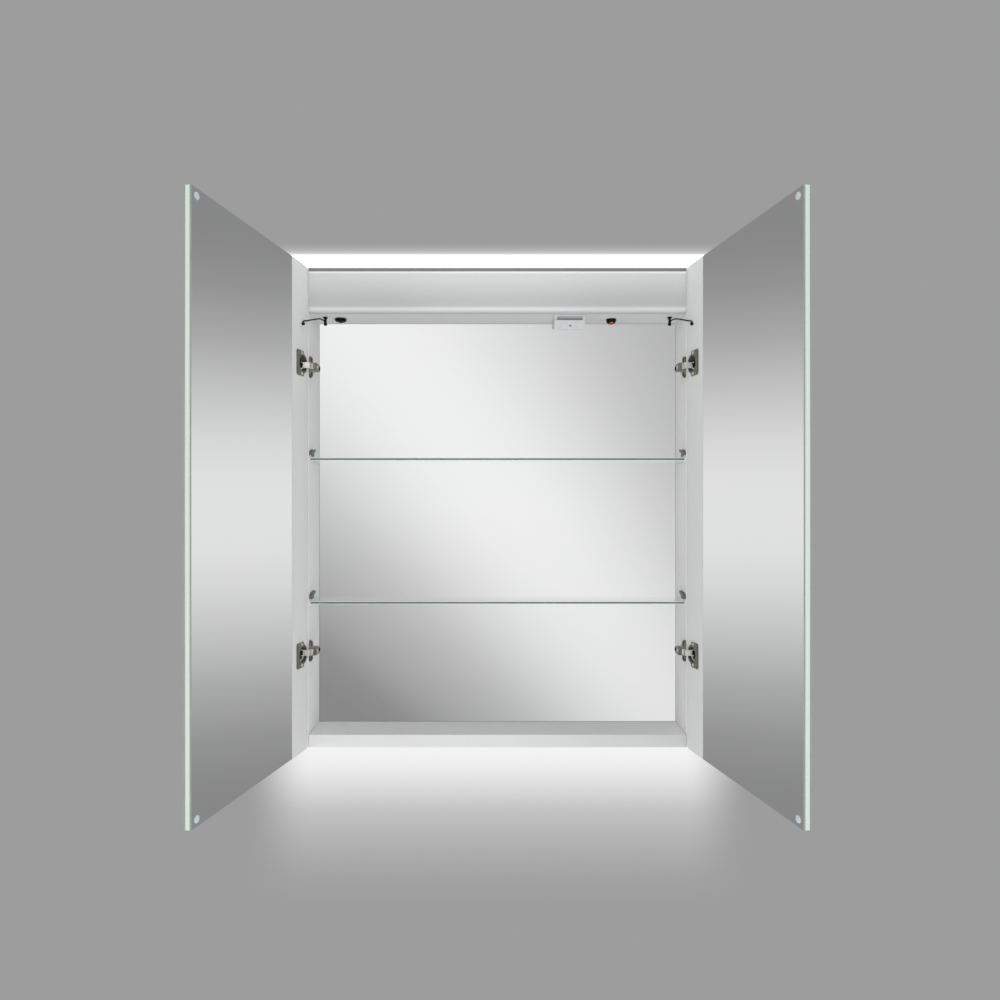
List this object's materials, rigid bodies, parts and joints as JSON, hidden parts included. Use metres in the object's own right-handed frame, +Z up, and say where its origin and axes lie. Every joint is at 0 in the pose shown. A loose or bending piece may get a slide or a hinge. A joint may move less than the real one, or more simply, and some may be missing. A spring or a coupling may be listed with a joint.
{
  "type": "mirror medicine cabinet",
  "caption": "Wall-hung medicine cabinet with mirrored swing doors, mirrored back, glass shelves, a lit head and underside, and a socket with a spring flap.",
  "frame": {"origin": "centre of the back face of the cabinet body, on the wall", "axes": "+Z up, +Y into the wall, +X to the right as seen from the front; the doors face -Y"},
  "size_m": [0.7014, 0.403, 0.739],
  "materials": {
    "lacquered_board": "light grey satin lacquer on board",
    "rear_board": "matt light grey hardboard",
    "door_core": "light grey rigid core with a satin strip beside the hinges",
    "mirror": "silvered glass",
    "shelf_glass": "clear glass with green polished edges",
    "opal_diffuser": "opal acrylic, lit from inside",
    "aluminium_profile": "satin anodised",
    "led_board": "white circuit board",
    "nickel_plated_steel": "nickel plate",
    "black_rubber": "matt black",
    "black_plastic": "smooth black",
    "red_lens": "clear red",
    "white_plastic": "smooth light grey",
    "grey_plastic": "dark grey satin",
    "clear_bumper": "translucent soft bumper"
  },
  "bodies": {
    "cabinet": {"left_side_panel": "lacquered_board", "right_side_panel": "lacquered_board", "top_panel": "lacquered_board", "bottom_panel": "lacquered_board", "head_fascia": "lacquered_board", "head_ceiling": "lacquered_board", "rear_panel": "rear_board", "mirror_carrier_board": "rear_board", "back_mirror": "mirror", "top_light_diffuser": "opal_diffuser", "bottom_light_diffuser": "opal_diffuser", "top_light_channel": "aluminium_profile", "bottom_light_channel": "aluminium_profile", "top_led_board": "led_board", "bottom_led_board": "led_board", "left_upper_hinge_arm": "nickel_plated_steel", "left_upper_hinge_plate": "nickel_plated_steel", "left_lower_hinge_arm": "nickel_plated_steel", "left_lower_hinge_plate": "nickel_plated_steel", "right_upper_hinge_arm": "nickel_plated_steel", "right_upper_hinge_plate": "nickel_plated_steel", "right_lower_hinge_arm": "nickel_plated_steel", "right_lower_hinge_plate": "nickel_plated_steel", "left_hanging_bracket": "nickel_plated_steel", "right_hanging_bracket": "nickel_plated_steel", "mains_inlet_gland": "black_rubber", "left_lead_gland": "black_rubber", "left_door_lead": "black_rubber", "right_lead_gland": "black_rubber", "right_door_lead": "black_rubber", "dimmer_sensor": "black_plastic", "motion_sensor_housing": "black_plastic", "motion_sensor_lens": "red_lens", "socket_housing": "white_plastic", "socket_insert": "white_plastic", "led_driver": "white_plastic", "upper_shelf": "shelf_glass", "lower_shelf": "shelf_glass", "left_upper_shelf_support": "grey_plastic", "left_lower_shelf_support": "grey_plastic", "right_upper_shelf_support": "grey_plastic", "right_lower_shelf_support": "grey_plastic"},
    "left_door": {"left_door_outer_mirror": "mirror", "left_door_inner_mirror": "mirror", "left_door_panel": "door_core", "left_upper_hinge_cup": "nickel_plated_steel", "left_lower_hinge_cup": "nickel_plated_steel", "left_upper_door_bumper": "clear_bumper", "left_lower_door_bumper": "clear_bumper", "left_door_lead_grommet": "black_rubber"},
    "right_door": {"right_door_outer_mirror": "mirror", "right_door_inner_mirror": "mirror", "right_door_panel": "door_core", "right_upper_hinge_cup": "nickel_plated_steel", "right_lower_hinge_cup": "nickel_plated_steel", "right_upper_door_bumper": "clear_bumper", "right_lower_door_bumper": "clear_bumper", "right_door_lead_grommet": "black_rubber"},
    "socket_flap": {"socket_flap": "white_plastic"}
  },
  "joints": [
    {"name": "left_door_hinge", "type": "hinge", "parent": "cabinet", "child": "left_door", "pos_m": [-0.2915, -0.11668, 0], "axis": [0, 0, 1], "range_deg": [0, 101], "deforming": ["left_door_lead"]},
    {"name": "right_door_hinge", "type": "hinge", "parent": "cabinet", "child": "right_door", "pos_m": [0.2915, -0.11668, 0], "axis": [0, 0, 1], "range_deg": [-101, 0], "deforming": ["right_door_lead"]},
    {"name": "socket_flap_hinge", "type": "hinge", "parent": "cabinet", "child": "socket_flap", "pos_m": [0.10975, -0.0436, 0.2831], "axis": [1, 0, 0], "range_deg": [0, 75], "stiffness_Nm_per_rad": 0.004, "springref_deg": -57.3}
  ]
}
